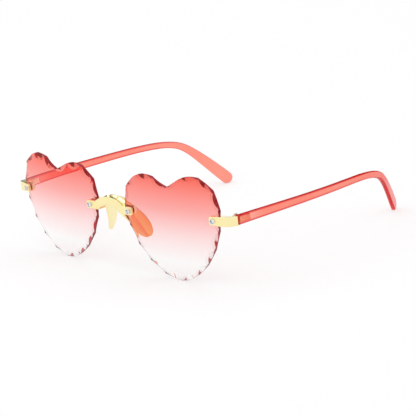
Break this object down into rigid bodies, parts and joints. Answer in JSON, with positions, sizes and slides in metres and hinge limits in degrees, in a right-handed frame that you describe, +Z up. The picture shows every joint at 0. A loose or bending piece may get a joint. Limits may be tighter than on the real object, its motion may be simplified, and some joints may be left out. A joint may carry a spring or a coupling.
{
  "type": "heart shaped sunglasses",
  "caption": "Rimless heart shaped sunglasses: scalloped gradient lenses, a gold bridge with nose pads, gold endpieces with crystals, and folding translucent temples.",
  "frame": {"origin": "middle of the footprint, on the surface that the lenses and ear tips stand on", "axes": "+X to the wearer's left, -Y out of the lens fronts, +Z up"},
  "size_m": [0.153, 0.1418, 0.0516],
  "materials": {
    "lens": "clear plastic, salmon red at the top fading to clear at the bottom",
    "gold": "polished pale gold plate",
    "temple": "translucent coral plastic, polished",
    "crystal": "clear cut stone",
    "screw_metal": "gold plate",
    "sleeve": "clear nylon",
    "hinge_metal": "nickel plate"
  },
  "bodies": {
    "left_temple": {"temple_left": "temple", "hinge_leaf_left": "hinge_metal"},
    "right_temple": {"temple_right": "temple", "hinge_leaf_right": "hinge_metal"},
    "front": {"bridge": "gold", "lens_left": "lens", "endpiece_left": "gold", "hinge_screw_left": "hinge_metal", "lens_screw_outer_left": "screw_metal", "crystal_outer_left": "crystal", "lens_sleeve_outer_left": "sleeve", "lens_nut_outer_left": "screw_metal", "lens_screw_inner_left": "screw_metal", "crystal_inner_left": "crystal", "lens_sleeve_inner_left": "sleeve", "lens_nut_inner_left": "screw_metal", "lens_right": "lens", "endpiece_right": "gold", "hinge_screw_right": "hinge_metal", "lens_screw_outer_right": "screw_metal", "crystal_outer_right": "crystal", "lens_sleeve_outer_right": "sleeve", "lens_nut_outer_right": "screw_metal", "lens_screw_inner_right": "screw_metal", "crystal_inner_right": "crystal", "lens_sleeve_inner_right": "sleeve", "lens_nut_inner_right": "screw_metal"}
  },
  "joints": [
    {"name": "temple_left_fold", "type": "hinge", "parent": "front", "child": "left_temple", "pos_m": [0.07078, -0.0561, 0.0317], "axis": [0, 0, 1], "range_deg": [0, 85]},
    {"name": "temple_right_fold", "type": "hinge", "parent": "front", "child": "right_temple", "pos_m": [-0.07078, -0.0561, 0.0317], "axis": [0, 0, -1], "range_deg": [0, 77]}
  ]
}
